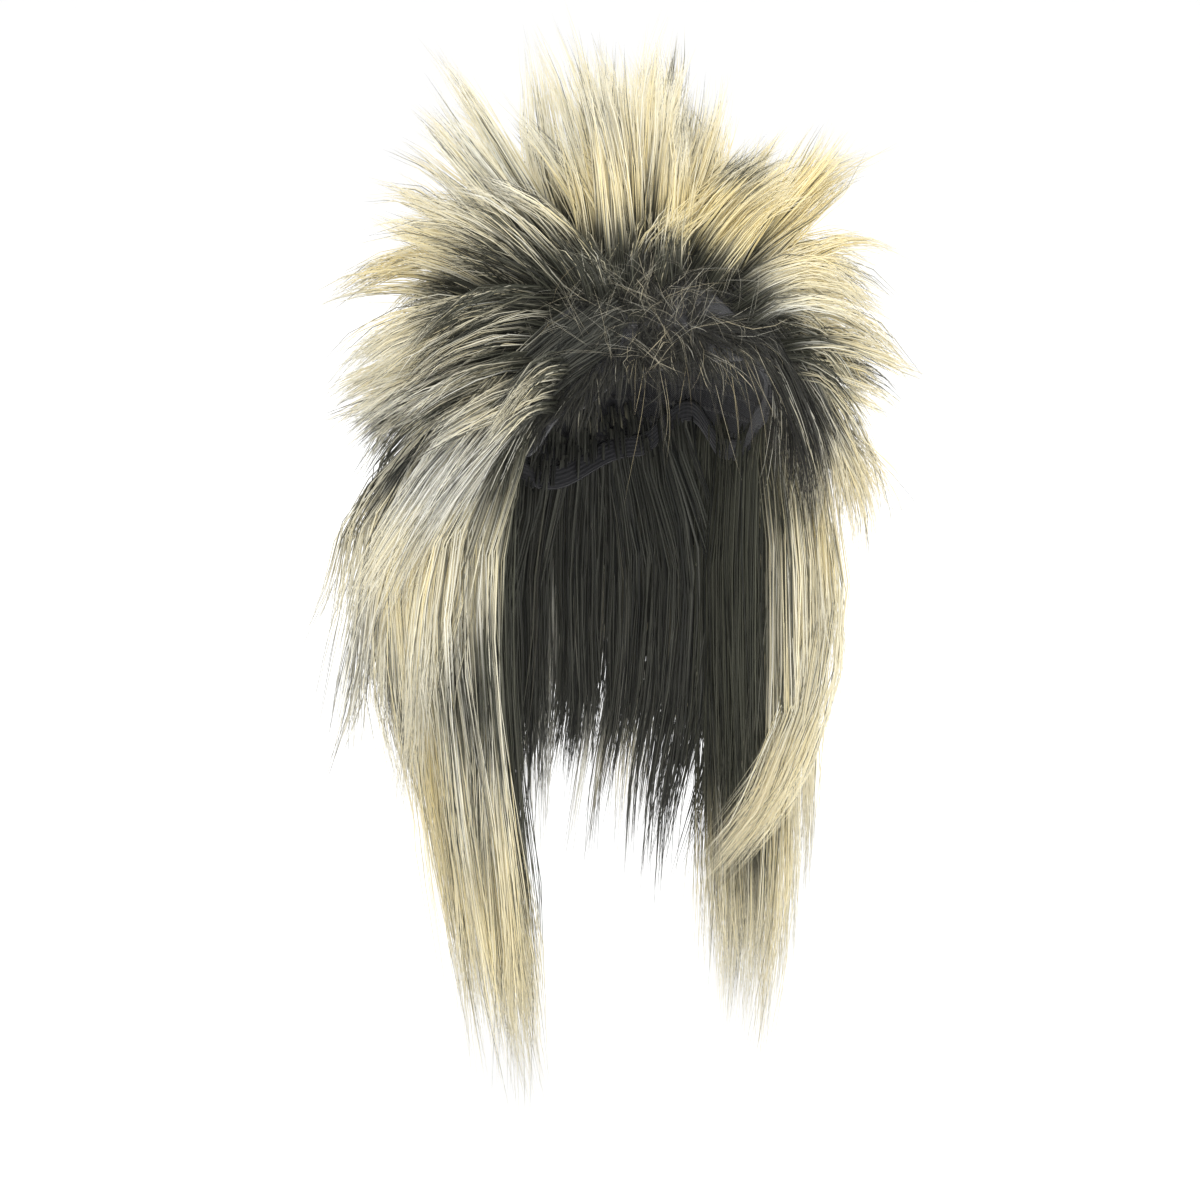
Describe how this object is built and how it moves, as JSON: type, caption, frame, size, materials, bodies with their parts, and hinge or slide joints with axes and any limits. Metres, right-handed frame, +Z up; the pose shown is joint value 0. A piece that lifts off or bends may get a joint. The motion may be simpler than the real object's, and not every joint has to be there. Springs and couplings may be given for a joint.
{
  "type": "mullet wig",
  "caption": "Mullet wig in frosted synthetic hair: net cap with elastic edge, spiky layered top, swept temples, long sides and back.",
  "frame": {"origin": "top of the head at the inner face of the cap, where the cap rests on the wearer's head", "axes": "+Z up, the wearer faces -Y, the wearer's left is +X"},
  "size_m": [0.3469, 0.3226, 0.5873],
  "materials": {
    "cap_net": "fine stretch net",
    "elastic": "woven elastic tape",
    "frosted_hair": "blond and silver synthetic fibre with dark roots, soft sheen",
    "silver_hair": "silver synthetic fibre with dark streaks, soft sheen",
    "dark_hair": "charcoal synthetic fibre, soft sheen"
  },
  "bodies": {
    "root": {"cap": "cap_net", "edge_band": "elastic", "crown_hair": "frosted_hair", "forehead_wisps": "dark_hair", "right_temple_hair": "silver_hair", "left_temple_hair": "dark_hair", "right_side_hair": "frosted_hair", "left_side_hair": "frosted_hair", "back_hair": "silver_hair"}
  },
  "joints": []
}
